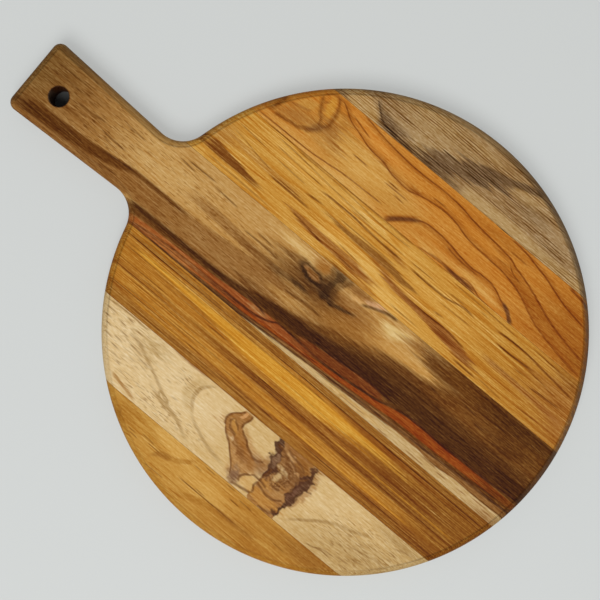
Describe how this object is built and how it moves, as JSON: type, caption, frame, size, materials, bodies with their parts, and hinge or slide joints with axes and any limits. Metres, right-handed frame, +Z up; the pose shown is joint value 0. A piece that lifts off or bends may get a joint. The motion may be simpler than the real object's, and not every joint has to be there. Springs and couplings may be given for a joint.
{
  "type": "round cutting board",
  "caption": "Round wooden paddle cutting board, edge-glued from staves of mixed grain, with rounded rims and a flared handle that has a hanging hole.",
  "frame": {"origin": "centre of the round part, on the underside", "axes": "+X along the handle towards its end, +Y to the left looking along +X, +Z up through the board's thickness"},
  "size_m": [0.4064, 0.3048, 0.019],
  "materials": {
    "handle_wood": "oiled dark brown heartwood with a knot, satin",
    "left_wood_1": "oiled golden-brown striped wood, satin",
    "left_wood_2": "oiled pale sapwood with a burl, satin",
    "left_wood_3": "oiled golden wood, satin",
    "right_wood_1": "oiled golden straight-grained wood, satin",
    "right_wood_2": "oiled orange wavy-grained wood, satin",
    "right_wood_3": "oiled grey-tan wood, satin",
    "wood_glue": "cured wood glue, matt"
  },
  "bodies": {
    "root": {"handle_stave": "handle_wood", "left_stave_1": "left_wood_1", "left_stave_2": "left_wood_2", "left_stave_3": "left_wood_3", "right_stave_1": "right_wood_1", "right_stave_2": "right_wood_2", "right_stave_3": "right_wood_3", "left_glue_line_1": "wood_glue", "left_glue_line_2": "wood_glue", "left_glue_line_3": "wood_glue", "right_glue_line_1": "wood_glue", "right_glue_line_2": "wood_glue", "right_glue_line_3": "wood_glue"}
  },
  "joints": []
}
